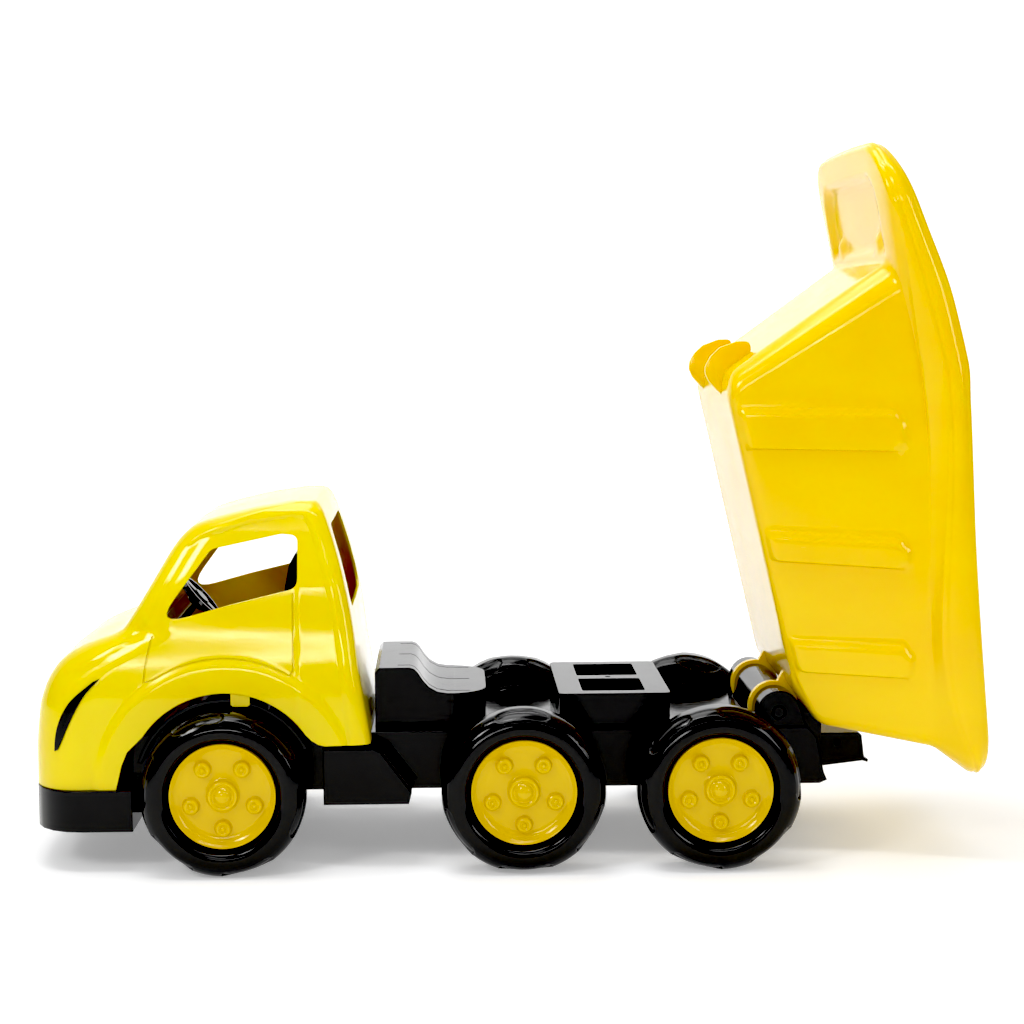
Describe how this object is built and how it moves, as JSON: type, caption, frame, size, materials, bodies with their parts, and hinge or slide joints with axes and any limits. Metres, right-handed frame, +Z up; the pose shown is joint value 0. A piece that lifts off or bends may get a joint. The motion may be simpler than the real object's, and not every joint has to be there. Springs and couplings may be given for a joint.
{
  "type": "toy dump truck",
  "caption": "Large plastic toy dump truck with a tipping bed, open-window cab over black chassis, free-rolling knobby wheels and lugged hub caps.",
  "frame": {"origin": "ground point under the centre of the whole truck, measured with the bed fully raised", "axes": "+X toward the tail of the truck, +Y toward its right side, +Z up; the truck faces -X"},
  "size_m": [0.8629, 0.32, 0.6443],
  "materials": {
    "chassis_black": "glossy moulded black",
    "wheel_black": "glossy blow-moulded black",
    "insert_black": "semi-gloss moulded black",
    "decal_black": "semi-gloss black",
    "cab_yellow": "glossy lemon yellow",
    "bed_yellow": "glossy warm yellow",
    "hub_cap_yellow": "glossy yellow",
    "axle_steel": "drawn steel rod"
  },
  "bodies": {
    "truck": {"chassis": "chassis_black", "cab_shell": "cab_yellow", "cab_insert": "insert_black", "insert_screw_rear": "axle_steel", "insert_screw_front": "axle_steel", "nose_trim_left": "decal_black", "nose_trim_right": "decal_black", "hinge_pin": "axle_steel", "hinge_plug_left": "chassis_black", "hinge_plug_right": "chassis_black", "axle_front": "axle_steel", "push_nut_front_left": "axle_steel", "push_nut_front_right": "axle_steel", "axle_middle": "axle_steel", "push_nut_middle_left": "axle_steel", "push_nut_middle_right": "axle_steel", "axle_rear": "axle_steel", "push_nut_rear_left": "axle_steel", "push_nut_rear_right": "axle_steel"},
    "bed": {"dump_bed": "bed_yellow"},
    "wheel_body_front_left": {"wheel_front_left": "wheel_black", "hub_cap_front_left": "hub_cap_yellow"},
    "wheel_body_front_right": {"wheel_front_right": "wheel_black", "hub_cap_front_right": "hub_cap_yellow"},
    "wheel_body_middle_left": {"wheel_middle_left": "wheel_black", "hub_cap_middle_left": "hub_cap_yellow"},
    "wheel_body_middle_right": {"wheel_middle_right": "wheel_black", "hub_cap_middle_right": "hub_cap_yellow"},
    "wheel_body_rear_left": {"wheel_rear_left": "wheel_black", "hub_cap_rear_left": "hub_cap_yellow"},
    "wheel_body_rear_right": {"wheel_rear_right": "wheel_black", "hub_cap_rear_right": "hub_cap_yellow"}
  },
  "joints": [
    {"name": "bed_tip", "type": "hinge", "parent": "truck", "child": "bed", "pos_m": [0.2445, 0, 0.13], "axis": [0, -1, 0], "range_deg": [0, 73]},
    {"name": "wheel_spin_front_left", "type": "hinge", "parent": "truck", "child": "wheel_body_front_left", "pos_m": [-0.2555, -0.138, 0.073], "axis": [0, 1, 0], "continuous": true},
    {"name": "wheel_spin_front_right", "type": "hinge", "parent": "truck", "child": "wheel_body_front_right", "pos_m": [-0.2555, 0.138, 0.073], "axis": [0, 1, 0], "continuous": true},
    {"name": "wheel_spin_middle_left", "type": "hinge", "parent": "truck", "child": "wheel_body_middle_left", "pos_m": [0.0095, -0.138, 0.073], "axis": [0, 1, 0], "continuous": true},
    {"name": "wheel_spin_middle_right", "type": "hinge", "parent": "truck", "child": "wheel_body_middle_right", "pos_m": [0.0095, 0.138, 0.073], "axis": [0, 1, 0], "continuous": true},
    {"name": "wheel_spin_rear_left", "type": "hinge", "parent": "truck", "child": "wheel_body_rear_left", "pos_m": [0.1835, -0.138, 0.073], "axis": [0, 1, 0], "continuous": true},
    {"name": "wheel_spin_rear_right", "type": "hinge", "parent": "truck", "child": "wheel_body_rear_right", "pos_m": [0.1835, 0.138, 0.073], "axis": [0, 1, 0], "continuous": true}
  ]
}
